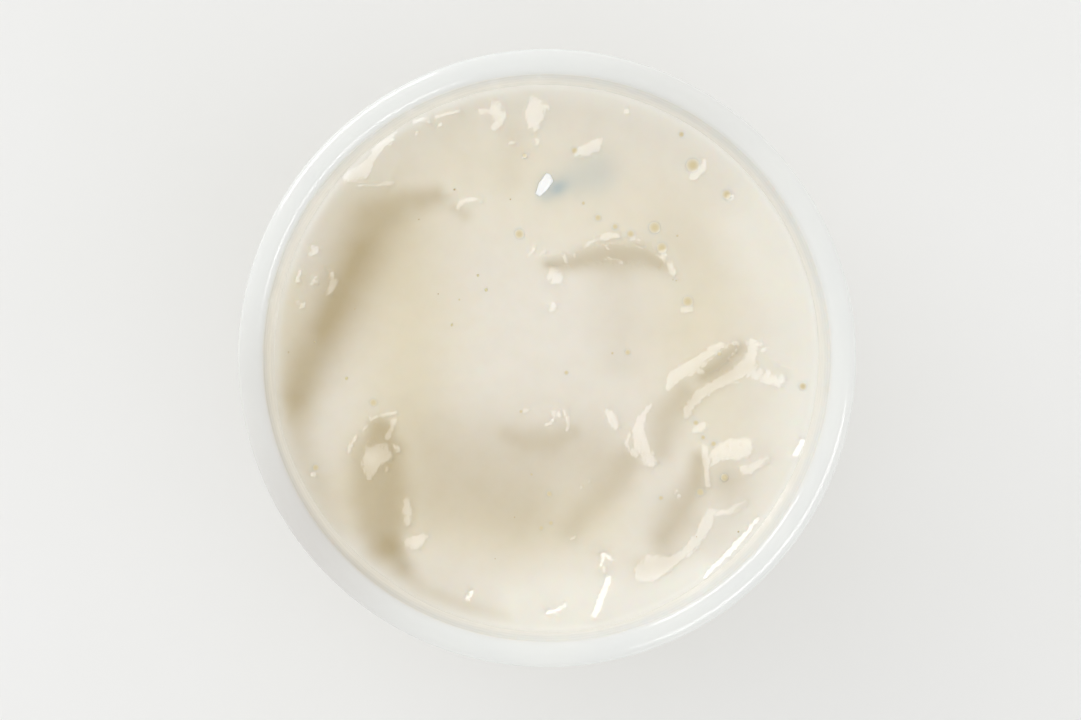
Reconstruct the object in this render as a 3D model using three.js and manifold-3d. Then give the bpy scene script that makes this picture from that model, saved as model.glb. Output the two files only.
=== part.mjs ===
// A takeaway portion cup of creamy dressing, open at the top, with one crumb of blue cheese
// poking out of it. Millimetres, +Z up, origin at the centre of the foot.
//
// The cup is one thin moulded shell: a foot ring round a raised floor, a tapered wall, a
// stacking shoulder, a straighter collar, and a crowned lip that turns down into a skirt. The
// dressing fills it to a few millimetres under the lip, and its top is folded and dimpled.

import * as THREE from "three";
import { mergeVertices } from "three/addons/utils/BufferGeometryUtils.js";
import Module from "manifold-3d";

// Cup
const CUP_HEIGHT = 41;
const LIP_RADIUS = 37.5; // outer edge of the skirt
const MOUTH_RADIUS = 34.4; // inner edge of the lip
const LIP_CROWN = 0.95; // how far the lip's top arches over its edges
const SKIRT_DEPTH = 2.8;
const WALL = 0.7;
const COLLAR_DEPTH = 10; // from the lip down to the stacking shoulder
const COLLAR_FOOT_RADIUS = 33; // inside
const SHOULDER_STEP = 0.9;
const SHOULDER_DROP = 1;
const FLOOR_RADIUS = 25.6; // inside, where wall and floor would meet
const FLOOR_HEIGHT = 1.5; // top of the raised floor
const FOOT_INSET = 0.4; // the foot ring's outer edge, inside the wall's foot
const FOOT_RING_WIDTH = 3.2;
const FOOT_RECESS = 0.8;
const FLOOR_FILLET = 3;
const FOOT_FILLET = 1.2;
const SHOULDER_FILLET = 0.8;

// Dressing
const GAP = 0.3; // between pieces that touch
const FILL_DEPTH = 6.2; // mean level under the lip
const FILL_LEVEL = CUP_HEIGHT - FILL_DEPTH;
const MENISCUS_RISE = 0.7;
const MENISCUS_REACH = 1.6;
const SKIN_RINGS = 26;

// Facets
const MERGE = 1e-3; // points closer than this are one
const SECTORS = 64;
const FILLET_STEPS = 3;
const CROWN_STEPS = 6;

// Ridges and hollows of the dressing's skin. Each follows a path of points: x, y, and how far
// the form reaches to the left and to the right of the path there. Height is in the middle.
const FORMS = [
  { // crescent valley at the left
    height: -1.5,
    path: [
      [-13.6, 20, 2, 1.3], [-18, 19, 3, 2], [-21.8, 16.2, 4, 2.8], [-24.6, 11, 4.5, 3.2],
      [-27, 6, 4.2, 2.8], [-29, 1, 3.6, 2.6], [-31, -4, 2.6, 2.2],
    ],
  },
  { // ledge above it
    height: 0.5,
    path: [[-25, 24.5, 2.6, 2.6], [-19, 24.8, 3, 3], [-13, 23.2, 2.6, 2.6]],
  },
  { // hollow at the lower left
    height: -1.7,
    path: [[-20.6, -11.8, 2.4, 2.4], [-21, -17, 3, 3], [-20.6, -21.5, 2.8, 2.8], [-18, -26, 1.6, 1.6]],
  },
  { // shallow trough across the middle
    height: -0.8,
    path: [[-13, -10, 5, 5], [-4, -12, 6, 6], [4, -13, 6, 6]],
  },
  { height: -0.4, path: [[-13, -18, 5, 5], [-4, -20, 5, 5]] },
  { height: 0.5, path: [[-3.6, -7.3, 1.8, 1.8], [1, -7.6, 1.8, 1.8]] },
  { // two soft hollows
    height: -0.5,
    path: [[10, -13.5, 1.8, 1.8], [8.6, -16, 2, 2], [4.6, -19.3, 2.2, 2.2], [3, -21.5, 1.8, 1.8]],
  },
  { // tongue under the arched fold, and the fold's crest
    height: -0.7,
    path: [[8.6, 11, 3.4, 3.4], [9.5, 6, 4, 4], [9.5, 0, 3, 3]],
  },
  {
    height: 0.35,
    path: [[4, 14.2, 3, 1.2], [8.5, 15.4, 3.4, 1.2], [12.5, 14.2, 3, 1.2], [16, 10.8, 2.4, 1.2]],
  },
  { // pocket at the right and the valley down from it
    height: -0.8,
    path: [[19, -2.6, 1.2, 1.2], [21.4, -0.8, 1.5, 1.5], [23.8, 1.2, 1.3, 1.3]],
  },
  { height: -0.7, path: [[16.5, -4.6, 1.6, 1.6], [14.4, -8, 2.2, 2.2], [14.2, -11.5, 1.8, 1.8]] },
  { // valley at the lower right, its ridge and the dimple above it
    height: -1.2,
    path: [
      [19.2, -13.5, 1.1, 1.1], [18.6, -16.5, 1.6, 1.6], [16.4, -19.6, 2.2, 2.2],
      [14.4, -22.3, 1.8, 1.8],
    ],
  },
  {
    height: 0.4,
    path: [
      [13, -25.8, 2, 2], [17.4, -23.8, 1.4, 1.4], [20.2, -19.6, 1.4, 1.4], [24, -18.4, 1.4, 1.4],
    ],
  },
  { height: -0.6, path: [[22.2, -15.6, 2, 2]] },
  { height: 0.6, path: [[-28.4, 9.3, 1.8, 1.8]] },
];

// The dressing stands higher against the wall at the upper left than elsewhere.
const BANK = { height: 2, reach: 3.4, towards: 150, spread: 62 };

// Crumb of cheese
const CRUMB = { x: 2.3, y: 21.9, long: 6.8, wide: 4.4, deep: 3.4, turn: 14, above: 0.4 };
const CRUMB_TIP = { reach: 1.1, along: -0.75, sharpness: 12 };
const CRUMB_LUMPS = 0.08; // of its size
const WAVES = { x: 5, y: 4, z: 7, start: 1, shareOfZ: 0.7 }; // lumps over a ball of radius 1

const radians = THREE.MathUtils.degToRad;

// Replaces each corner that has a fillet by an arc of that radius.
function rounded(corners) {
  const points = [];
  corners.forEach(([x, y, fillet], i) => {
    const here = new THREE.Vector2(x, y);
    if (!fillet) {
      points.push(here);
      return;
    }
    const back = new THREE.Vector2(...corners[i - 1]).sub(here).normalize();
    const on = new THREE.Vector2(...corners[i + 1]).sub(here).normalize();
    const half = Math.acos(THREE.MathUtils.clamp(back.dot(on), -1, 1)) / 2;
    const centre = back.clone().add(on).normalize().multiplyScalar(fillet / Math.sin(half)).add(here);
    const start = back.multiplyScalar(fillet / Math.tan(half)).add(here).sub(centre);
    const end = on.multiplyScalar(fillet / Math.tan(half)).add(here).sub(centre);
    const sweep = Math.atan2(start.cross(end), start.dot(end));
    for (let k = 0; k <= FILLET_STEPS; k += 1) {
      const turn = (sweep * k) / FILLET_STEPS;
      points.push(start.clone().rotateAround(new THREE.Vector2(), turn).add(centre));
    }
  });
  return points;
}

// Turns a profile of (radius, height) points round the Z axis.
function turned(profile) {
  return new THREE.LatheGeometry(profile, SECTORS).rotateX(Math.PI / 2);
}

// The inside of the cup from the floor's centre up to the lip, moved inwards by inset.
function insideCorners(inset) {
  const shoulder = CUP_HEIGHT - COLLAR_DEPTH;
  return [
    [0, FLOOR_HEIGHT + inset, 0],
    [FLOOR_RADIUS - inset, FLOOR_HEIGHT + inset, FLOOR_FILLET],
    [COLLAR_FOOT_RADIUS - SHOULDER_STEP - inset, shoulder - SHOULDER_DROP, SHOULDER_FILLET],
    [COLLAR_FOOT_RADIUS - inset, shoulder, SHOULDER_FILLET],
    [MOUTH_RADIUS - inset, CUP_HEIGHT - LIP_CROWN, 0],
  ];
}

// Radius of the cup's inside at a height on the collar.
function collarRadius(z) {
  const share = (z - (CUP_HEIGHT - COLLAR_DEPTH)) / (COLLAR_DEPTH - LIP_CROWN);
  return THREE.MathUtils.lerp(COLLAR_FOOT_RADIUS, MOUTH_RADIUS, share);
}

// Half an ellipse that arches up between two radii, from the first to the second.
function arch(from, to, foot, rise) {
  const points = [];
  for (let k = 0; k <= CROWN_STEPS; k += 1) {
    const angle = (Math.PI * k) / CROWN_STEPS;
    points.push([
      THREE.MathUtils.lerp(from, to, (1 - Math.cos(angle)) / 2),
      foot + rise * Math.sin(angle),
      0,
    ]);
  }
  return points;
}

function cupGeometry() {
  const inside = insideCorners(0);
  const outside = insideCorners(-WALL);
  const ringOuter = FLOOR_RADIUS - FOOT_INSET;
  const ringInner = ringOuter - FOOT_RING_WIDTH;
  const lipFoot = CUP_HEIGHT - LIP_CROWN;
  const profile = rounded([
    [0, FOOT_RECESS, 0],
    [ringInner - FOOT_RECESS, FOOT_RECESS, 0],
    [ringInner, 0, 0],
    [ringOuter, 0, 0],
    [FLOOR_RADIUS + WALL, FLOOR_HEIGHT, FOOT_FILLET],
    outside[2],
    outside[3],
    ...arch(MOUTH_RADIUS + WALL, LIP_RADIUS - WALL, lipFoot - WALL, LIP_CROWN),
    [LIP_RADIUS - WALL, CUP_HEIGHT - SKIRT_DEPTH, 0],
    [LIP_RADIUS, CUP_HEIGHT - SKIRT_DEPTH, 0],
    ...arch(LIP_RADIUS, MOUTH_RADIUS, lipFoot, LIP_CROWN),
    inside[3],
    inside[2],
    inside[1],
    inside[0],
  ]);
  return turned(profile);
}

// Distance from a path, 1 at the reach that the form has on that side of the path. A path of one
// point is a round spot.
function distanceFrom(path, x, y) {
  if (path.length === 1) return Math.hypot(x - path[0][0], y - path[0][1]) / path[0][2];
  let nearest = Infinity;
  for (let i = 1; i < path.length; i += 1) {
    const [ax, ay, aLeft, aRight] = path[i - 1];
    const [bx, by, bLeft, bRight] = path[i];
    const [dx, dy] = [bx - ax, by - ay];
    const along = ((x - ax) * dx + (y - ay) * dy) / (dx * dx + dy * dy);
    const share = THREE.MathUtils.clamp(along, 0, 1);
    const [offX, offY] = [x - ax - share * dx, y - ay - share * dy];
    const onLeft = dx * offY - dy * offX > 0;
    const reach = onLeft
      ? THREE.MathUtils.lerp(aLeft, bLeft, share)
      : THREE.MathUtils.lerp(aRight, bRight, share);
    nearest = Math.min(nearest, Math.hypot(offX, offY) / reach);
  }
  return nearest;
}

// How far the dressing's skin stands above its mean level.
function relief(x, y) {
  let height = 0;
  for (const form of FORMS) {
    height += form.height * Math.exp(-(distanceFrom(form.path, x, y) ** 2));
  }
  const toWall = Math.max(collarRadius(FILL_LEVEL) - Math.hypot(x, y), 0);
  const turn = THREE.MathUtils.radToDeg(Math.atan2(y, x)) - BANK.towards;
  const offBank = THREE.MathUtils.euclideanModulo(turn + 180, 360) - 180;
  const banked = Math.exp(-((offBank / BANK.spread) ** 4));
  const meniscus = MENISCUS_RISE * Math.exp(-toWall / MENISCUS_REACH);
  const bank = BANK.height * Math.exp(-((toWall / BANK.reach) ** 2));
  return height + THREE.MathUtils.lerp(meniscus, bank, banked);
}

// A body that follows the cup's inside up to the fill level and has the relief as its top.
function dressingGeometry() {
  const side = rounded([
    ...insideCorners(GAP).slice(0, 4),
    [collarRadius(FILL_LEVEL) - GAP, FILL_LEVEL, 0],
  ]);
  const edge = side[side.length - 1];
  const top = [];
  for (let k = 1; k <= SKIN_RINGS; k += 1) {
    top.push(new THREE.Vector2(edge.x * (1 - k / SKIN_RINGS), FILL_LEVEL));
  }
  const geometry = turned([...side, ...top]);
  const place = geometry.getAttribute("position");
  for (let i = 0; i < place.count; i += 1) {
    const [x, y, z] = [place.getX(i), place.getY(i), place.getZ(i)];
    if (z < FILL_LEVEL - MERGE) continue;
    const risen = FILL_LEVEL + relief(x, y);
    const widen = 1 + (collarRadius(risen) - collarRadius(z)) / edge.x;
    place.setXYZ(i, x * widen, y * widen, risen);
  }
  return geometry;
}

// An uneven lump with a raised tip at one end, grown by swell on every side.
function crumbGeometry(swell) {
  const geometry = new THREE.IcosahedronGeometry(1, 3);
  const place = geometry.getAttribute("position");
  const point = new THREE.Vector3();
  for (let i = 0; i < place.count; i += 1) {
    point.fromBufferAttribute(place, i);
    const flatWave = Math.sin(WAVES.x * point.x + WAVES.start) * Math.cos(WAVES.y * point.y);
    const highWave = Math.sin(WAVES.z * point.z);
    const lumpy = 1 + CRUMB_LUMPS * (flatWave + WAVES.shareOfZ * highWave);
    const fromTip = (point.x - CRUMB_TIP.along) ** 2 + point.y ** 2;
    const tip = CRUMB_TIP.reach * Math.exp(-CRUMB_TIP.sharpness * fromTip) * Math.max(point.z, 0);
    place.setXYZ(
      i,
      point.x * (lumpy * (CRUMB.long / 2) + swell),
      point.y * (lumpy * (CRUMB.wide / 2) + swell),
      point.z * (lumpy * (CRUMB.deep / 2) + swell) + tip,
    );
  }
  const above = FILL_LEVEL + relief(CRUMB.x, CRUMB.y) + CRUMB.above;
  return geometry.rotateZ(radians(CRUMB.turn)).translate(CRUMB.x, CRUMB.y, above - CRUMB.deep / 2);
}

const wasm = await Module();
wasm.setup();

// A closed geometry as a solid that can be cut.
function solid(geometry) {
  const bare = geometry.index ? geometry.toNonIndexed() : geometry.clone();
  bare.deleteAttribute("normal");
  bare.deleteAttribute("uv");
  const merged = mergeVertices(bare, MERGE);
  const vertProperties = merged.getAttribute("position").array;
  return new wasm.Manifold(
    new wasm.Mesh({ numProp: 3, vertProperties, triVerts: new Uint32Array(merged.index.array) }),
  );
}

// The solid's triangles as a geometry.
function drawn(body) {
  const mesh = body.getMesh();
  const geometry = new THREE.BufferGeometry();
  const corners = Float32Array.from(mesh.vertProperties);
  geometry.setAttribute("position", new THREE.BufferAttribute(corners, 3));
  geometry.setIndex(new THREE.BufferAttribute(Uint32Array.from(mesh.triVerts), 1));
  const flat = geometry.toNonIndexed();
  flat.computeVertexNormals();
  return flat;
}

function piece(name, geometry, colour, roughness) {
  const material = new THREE.MeshStandardMaterial({ color: colour, roughness, metalness: 0 });
  const mesh = new THREE.Mesh(geometry, material);
  mesh.name = name;
  return mesh;
}

const dressing = solid(dressingGeometry()).subtract(solid(crumbGeometry(GAP)));

const group = new THREE.Group();
group.add(piece("cup", cupGeometry(), 0xe9ecee, 0.3));
group.add(piece("dressing", drawn(dressing), 0xe6dfca, 0.2));
group.add(piece("cheese_crumb", crumbGeometry(0), 0xe4e9e6, 0.35));

export default group;
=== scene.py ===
import functools
import math
import random

import bmesh
import bpy
import numpy as np
from bpy.props import FloatProperty, FloatVectorProperty, IntProperty, PointerProperty
from mathutils import Matrix, Vector, noise


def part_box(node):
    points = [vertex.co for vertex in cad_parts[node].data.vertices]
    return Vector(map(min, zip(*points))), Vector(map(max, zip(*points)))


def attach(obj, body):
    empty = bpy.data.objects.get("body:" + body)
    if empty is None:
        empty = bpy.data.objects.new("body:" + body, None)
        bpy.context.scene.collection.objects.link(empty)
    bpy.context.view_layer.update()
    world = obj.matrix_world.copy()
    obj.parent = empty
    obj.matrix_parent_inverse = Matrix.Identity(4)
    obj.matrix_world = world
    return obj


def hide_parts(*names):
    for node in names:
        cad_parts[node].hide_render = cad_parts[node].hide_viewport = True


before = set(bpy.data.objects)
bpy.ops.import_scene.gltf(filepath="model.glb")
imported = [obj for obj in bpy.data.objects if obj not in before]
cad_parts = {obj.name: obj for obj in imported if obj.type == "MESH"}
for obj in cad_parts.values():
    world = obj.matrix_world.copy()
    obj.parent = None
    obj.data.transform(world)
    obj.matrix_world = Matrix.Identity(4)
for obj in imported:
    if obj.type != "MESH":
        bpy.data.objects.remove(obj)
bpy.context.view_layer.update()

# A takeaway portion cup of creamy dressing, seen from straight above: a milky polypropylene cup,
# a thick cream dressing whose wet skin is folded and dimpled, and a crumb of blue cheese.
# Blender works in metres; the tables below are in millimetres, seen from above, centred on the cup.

bl_info = {
    "name": "Dressing Cup",
    "version": (1, 0, 0),
    "blender": (4, 5, 0),
    "location": "3D View > Sidebar > Dressing Cup",
    "description": "A portion cup of creamy dressing with a crumb of blue cheese",
    "category": "Add Mesh",
}

MM = 0.001
BODY = "root"

# Wide ridges and hollows of the skin: height, and a path of x, y and how far the form reaches to
# the left and to the right of the path there.
FORMS = [
    # crescent valley at the left, and the ledge above it
    (-1.5, [(-13.6, 20, 2, 1.3), (-18, 19, 3, 2), (-21.8, 16.2, 4, 2.8), (-24.6, 11, 4.5, 3.2),
            (-27, 6, 4.2, 2.8), (-29, 1, 3.6, 2.6), (-31, -4, 2.6, 2.2)]),
    (0.5, [(-25, 24.5, 2.6), (-19, 24.8, 3), (-13, 23.2, 2.6)]),
    # hollow at the lower left
    (-1.7, [(-20.6, -11.8, 2.4), (-21, -17, 3), (-20.6, -21.5, 2.8), (-18, -26, 1.6)]),
    # shallow trough across the middle, with a lump in it
    (-0.8, [(-13, -10, 5), (-4, -12, 6), (4, -13, 6)]),
    (-0.4, [(-13, -18, 5), (-4, -20, 5)]),
    (0.5, [(-3.6, -7.3, 1.8), (1, -7.6, 1.8)]),
    (-0.5, [(10, -13.5, 1.8), (8.6, -16, 2), (4.6, -19.3, 2.2), (3, -21.5, 1.8)]),
    # tongue under the arched fold
    (-0.7, [(8.6, 11, 3.4), (9.5, 6, 4), (9.5, 0, 3)]),
    # pocket at the right and the valley that runs down from it
    (-0.8, [(19, -2.6, 1.2), (21.4, -0.8, 1.5), (23.8, 1.2, 1.3)]),
    (-0.7, [(16.5, -4.6, 1.6), (14.4, -8, 2.2), (14.2, -11.5, 1.8)]),
    # valley at the lower right and the dimple above it
    (-1.2, [(19.2, -13.5, 1.1), (18.6, -16.5, 1.6), (16.4, -19.6, 2.2), (14.4, -22.3, 1.8)]),
    (-0.6, [(22.2, -15.6, 2)]),
    # small dome at the left, and the crumb pushing up from below
    (0.6, [(-28.4, 9.3, 1.8)]),
    (0.3, [(0.8, 21.6, 2.4), (4.2, 22.4, 2.4)]),
]

# Where the skin is held to a slope: steepness, the azimuth it faces, and a path of x, y and how far
# it reaches to the left and to the right. Flat ones part two creases that would run together.
FALLS = [
    (0.4, -88, [(0.3, 12.1, .5), (3, 12.1, .6, .7), (5.5, 12.8, .6, 1), (8.5, 13.3, .6, 1.1),
                (11.5, 12.9, .6, 1), (13.6, 12, .5, .6)]),
    (0.55, -50, [(19.8, -1.2, .5), (21.6, -0.1, .6), (22.9, 1.2, .5)]),
    (0.02, 0, [(-23.6, -12, .35), (-22.6, -9.9, .5), (-21.2, -8.9, .55), (-19.9, -8.7, .4)]),
    (0.02, 0, [(27.2, 2.6, .45), (27.6, 1.2, .55), (28.6, 0.2, .55), (30, -0.6, .5)]),
    (0.02, 0, [(-29.7, 9.9, .35), (-29.8, 8.3, .35)]),
    (0.02, 0, [(-27.7, 10.6, .3), (-27.6, 8.8, .3)]),
    (0.02, 0, [(13.1, 14.2, .2), (13.4, 13.2, .2)]),
]

# Creases that lean towards the high light, as paths of x, y, half width
CREASES = [
    # bank at the upper left
    [(-24.5, 22.5, .5), (-22.8, 22.8, .75)],
    [(-24.6, 22.8, .35), (-24.3, 24.0, .3), (-23.9, 24.8, .15)],
    [(-22.6, 23.0, .6), (-21.6, 24.6, .4), (-20.6, 26.0, .4), (-19.4, 27.0, .42), (-18.8, 27.8, .22)],
    [(-24.8, 22.05, .12), (-23, 21.7, .12), (-19, 21.7, .08)],
    [(-23.3, 21.25, .07), (-21.5, 21.3, .1), (-19.2, 21.5, .06)],
    [(-16.4, 29.1, .12), (-15.2, 29.4, .22), (-14.6, 29.1, .1)],
    [(-13.6, 29.7, .12), (-12, 30.2, .16), (-10.8, 30.4, .08)],
    [(-13.2, 28.7, .2)],
    [(-16, 27.7, .14)],
    # hook at the ledge's end
    [(-10.9, 18.5, .12), (-10.7, 19.0, .3), (-10.2, 19.4, .25), (-9.1, 19.65, .13), (-8, 19.3, .07)],
    # drops against the wall at the top
    [(-6.3, 30.9, .5), (-6.0, 29.9, .85), (-6.2, 28.6, .4)],
    [(-8.1, 30.4, .18), (-7.1, 30.3, .35)],
    [(-1.6, 31.4, .6), (-1.6, 30.2, 1.1), (-1.7, 28.9, .6), (-1.6, 28.1, .18)],
    [(-0.7, 31.0, .25), (0.2, 30.9, .15)],
    [(-4.6, 26.55, .18), (-4.1, 26.6, .14)],
    [(-1.15, 26.9, .2), (-1.2, 26.4, .12)],
    [(-2.75, 24.9, .22)],
    [(3.5, 25.2, .2), (4.6, 25.6, .5), (5.8, 26.15, .65), (6.6, 26.9, .3)],
    [(9.8, 30.4, .25)],
    [(17.8, 22.5, .32), (18.6, 22.8, .4), (19.2, 23.4, .4), (19.5, 24.3, .2)],
    [(22.7, 19.8, .33)],
    # arched fold
    [(4.5, 13.75, .1), (5.1, 14.05, .24), (5.7, 14.4, .12)],
    [(6.0, 14.5, .12), (7.2, 14.95, .32), (8.2, 15.15, .3), (8.9, 14.9, .12)],
    [(10, 14.9, .12), (10.8, 14.65, .25), (11.8, 14.05, .1)],
    [(14.1, 13.1, .22), (14.5, 12.3, .15), (15.1, 11.5, .28), (15.7, 10.5, .2)],
    [(7.1, 11.9, .1), (8.1, 12.0, .2), (9.3, 11.7, .1)],
    [(-2.2, 12.7, .1), (-1.8, 13.2, .17), (-1.5, 13.6, .09)],
    [(-0.8, 12.7, .1), (-0.3, 13.1, .13)],
    [(2.2, 12.6, .1), (2.35, 12.0, .18)],
    [(3.4, 12.7, .12)],
    [(0.2, 10, .2), (0.9, 10.3, .6), (1.2, 9.9, .6)],
    [(0.8, 6.3, .38)],
    [(16.8, 5.95, .22), (17.7, 6.05, .25)],
    # lump in the middle
    [(-2.7, -6.5, .26)],
    [(0.7, -6.6, .12), (1.3, -6.8, .18), (1.7, -7.3, .1)],
    [(-0.1, -8.3, .1), (0.4, -8.0, .16), (0.8, -7.6, .09)],
    [(2.0, -6.5, .07), (2.7, -7.7, .14), (2.5, -8.9, .1)],
    # hollow at the lower left
    [(-24.5, -11.6, .09), (-24.1, -10.6, .17), (-23.5, -9.6, .12)],
    [(-22.8, -8.9, .07), (-22.1, -8.3, .07)],
    [(-21.7, -7.5, .1), (-20.4, -7.05, .2), (-18.7, -6.8, .12)],
    [(-21.9, -11.1, .6), (-21.5, -12.3, 1.1), (-21.8, -13.6, .8), (-21.9, -14.5, .35)],
    [(-21.2, -11.6, .9), (-20.2, -12.1, .85), (-19.8, -12.5, .4)],
    [(-20.4, -13.3, .1)],
    [(-19.8, -13.8, .18)],
    [(-18.9, -7.8, .28), (-19.2, -8.8, .15), (-19.7, -9.6, .3)],
    [(-18.9, -10.8, .1), (-18.4, -11.4, .2)],
    [(-17.3, -17.4, .12), (-17.2, -18.8, .42), (-17.2, -20.4, .22)],
    [(-17.2, -22.7, .22), (-16.3, -22.8, .72), (-15.6, -22.3, .5)],
    [(-28.8, -14.3, .28)],
    # dome at the left
    [(-29.1, 12.9, .22), (-28.6, 13.4, .4)],
    [(-30.5, 10.7, .15), (-30.8, 9.6, .18)],
    [(-28.8, 9.5, .45)],
    [(-26.6, 10.5, .2), (-26.3, 9.4, .4), (-26.8, 8.2, .26)],
    [(-30.8, 6.9, .22), (-30.3, 6.5, .32)],
    # forked crease at the right
    [(14.9, -3.5, .25), (15.8, -2.2, .6), (17.2, -1.3, .78), (18.6, -0.5, .55), (19.6, 0.3, .35),
     (20.6, 1.1, .48), (21.2, 1.4, .33)],
    [(17.3, -7.1, .25), (17.6, -5.9, .48), (19, -4.4, .52), (21, -3.2, .52), (23, -2.2, .66),
     (24.8, -1, .85), (25.4, .4, .6), (25.3, 1.7, .5)],
    [(25.4, -1.6, .6), (27.0, -2.4, .5), (28.4, -3.0, .38), (29.3, -3.0, .24)],
    [(27.2, 1.2, .16), (26.6, 0.9, .1)],
    [(12.7, -6, .1), (11.8, -7.3, .28), (11.2, -8.8, .52), (11.5, -10.3, .62), (12.3, -11.7, .48),
     (13.1, -13.1, .28)],
    [(10.2, -9.4, .1), (9.8, -10.5, .1), (10.2, -11.4, .1), (11.2, -12, .1)],
    [(7.4, -6.6, .14), (8.0, -7.4, .38), (8.6, -8.5, .28)],
    [(18.3, -8.8, .28), (19.2, -8.5, .48)],
    # dimple and long ridge at the lower right
    [(20.8, -11.7, .22), (21.5, -11.4, .75), (22.7, -11.3, 1.05), (24.1, -11.2, 1.1)],
    [(19.3, -11, .2), (19.7, -12.6, .32), (19.8, -14.2, .2), (20, -15.8, .2)],
    [(20.3, -13.2, .1), (21.2, -12.6, .12)],
    [(24.2, -13.7, .28), (25.1, -13.9, .33), (26.1, -13.2, .38), (27.2, -12.8, .33)],
    [(11.9, -26.1, .8), (13.1, -25.9, 1.4), (14.6, -25.6, .85), (16, -24.7, .45), (17.6, -23.7, .45),
     (18.8, -22.3, .52), (19.7, -20.6, .56), (20.3, -19.0, .36)],
    [(20.8, -19.2, .12), (22.4, -19.1, .15), (23.4, -18.7, .38), (24.3, -18.2, .36)],
    [(16, -16.6, .15)],
    [(16.3, -17.1, .17)],
    [(4.3, -16, .11)],
    [(5.2, -15.3, .11)],
    [(3, -22.4, .08), (3.5, -22.1, .1)],
]

# The same, towards the low light
LOW_CREASES = [
    [(6.6, -24.3, .1), (7.1, -24.2, .15), (7.9, -24.9, .12)],
    [(7, -24.4, .12), (6.7, -25.6, .1)],
    [(7.6, -27.2, .3), (6.8, -29.2, .26), (6.1, -31, .28), (5.9, -31.5, .22)],
    [(0, -31.4, .1), (1, -31.2, .26), (2.2, -30.5, .1)],
    [(-9.8, -29.6, .2), (-9.4, -29.0, .25)],
    # where the skin climbs the wall
    [(19.4, -27.2, .1), (20.2, -26.2, .2), (22.5, -24, .24), (24.5, -21.9, .22), (26.2, -19.8, .1)],
    [(31.6, -10.4, .2), (30.7, -11.9, .2)],
]

# Painted shade: the dressing's colour darkened where shade falls, in hollows, under folds and below the
# lump, and in places lightened or darkened under highlights to set their strength: amount, how square
# its edge is, and a path of x, y and its reach to the left and to the right.
PAINTED_SHADES = [
    # painted shade in the crescent valley at the left, lightened at its top end
    (-0.22, 1, [(-13.4, 20, 1.5), (-17, 19.8, 2.4)]),
    (0.75, 1, [(-13.8, 20.1, 1.6, 1.2), (-17.5, 19.6, 2.8, 1.8), (-21.5, 17.2, 4.8, 3.2),
               (-23.6, 12.5, 5, 3.6), (-25.8, 7.8, 4.6, 3.2), (-27.8, 3.5, 4.2, 2.9),
               (-29.6, -0.5, 3.4, 2.5), (-31, -4.5, 2.6, 2.2)]),
    (0.2, 1, [(-22.8, 13, 2.2, 1.6), (-25.6, 8, 2.4, 1.6), (-27.6, 4, 2.2, 1.5)]),
    (0.3, 1, [(-11.4, 18.4, .7), (-10.2, 17.7, .9)]),
    # painted shade in the hollow at the lower left, lightened under its highlight
    (0.68, 1.7, [(-20.5, -9.2, 1.8, 2), (-20.8, -12.5, 3.2, 3.7), (-20.6, -17, 3.7, 4),
                 (-20.4, -20.4, 3.4, 3.4), (-20.2, -22.8, 2.6, 2.6)]),
    (-0.3, 1, [(-21.6, -12.4, 1.1)]),
    (0.3, 1, [(-19.6, -23.5, 1.7), (-18, -26, 1.5)]),
    (0.3, 1, [(-18, -26, 1.4), (-15.2, -28.6, 1, 1.3), (-10.5, -30.5, .9, 1.1), (-5, -31.8, .7, .9)]),
    # painted shade in the trough across the middle, and painted shadow below the lump
    (0.37, 1, [(-14, -11.5, 5.5, 5), (-4, -12.5, 6, 6.5), (5, -12, 5, 6)]),
    (0.36, 1, [(-13.5, -18, 5, 4.5), (-3, -20, 5, 4.5)]),
    (0.24, 1, [(-5, -9.4, 1.1), (-2.6, -10.3, 1.6, 1.4), (0.6, -10.3, 1.6, 1.4), (3.2, -9.2, 1.1)]),
    # painted shade under the arched fold
    (0.5, 1, [(0.2, 11.5, .8, .7), (2.6, 11.6, 1.2, 1), (5.4, 12.3, 1.6, 1.6), (8.6, 12.9, 1.7, 2.2),
              (12, 12.7, 1.3, 1.9), (14.2, 11.6, .8, 1.1)]),
    (0.12, 1, [(8.5, 9.5, 3.2), (9.5, 4, 4), (9.5, 0, 3)]),
    (0.4, 1, [(16.8, -4.2, 1.5, 1.4), (14.6, -7.6, 2.4, 2), (14.2, -11, 1.8)]),
    (0.5, 1, [(18.9, -12.6, 1, 1.3), (18.5, -15.6, 1.4, 1.9), (16.4, -19.4, 2.5), (14.6, -22.2, 2)]),
    (0.32, 1, [(10, -13, 1.8), (8.6, -15.8, 2), (4.6, -19.3, 2.2), (3, -21.5, 1.8)]),
    (0.5, 1, [(19.4, -2.2, 1), (21.4, -0.9, 1.3, 1.4), (23.8, 1.1, 1.1)]),
    (0.35, 1, [(22.2, -15.4, 2.6)]),
    # painted shade under the forked crease and the long ridge, which tones their highlights down
    (0.22, 1, [(17.4, -6.4, .9), (19, -4.4, 1), (22.5, -2.4, 1), (25, -1, 1)]),
    (0.3, 1, [(12, -26, 1.6), (15, -25.4, 1.3)]),
    (0.3, 1, [(-31, -8, 2.2), (-30.5, -12, 2.4), (-28.6, -16, 2.4), (-27, -21, 2.2)]),
    (0.12, 1, [(-4, 27.5, 1.6), (-4.6, 22, 1.6)]),
    (0.08, 1, [(13, 21, 3), (19, 10, 3.5)]),
    (0.14, 1, [(-15, 15, 5), (-16, 5, 6), (-17.5, -5, 5)]),
    (0.06, 1, [(16.5, 4, 4.5), (18.5, -3, 4.5)]),
    (0.1, 1, [(10, 18, 6), (18, 14, 5)]),
]

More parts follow.
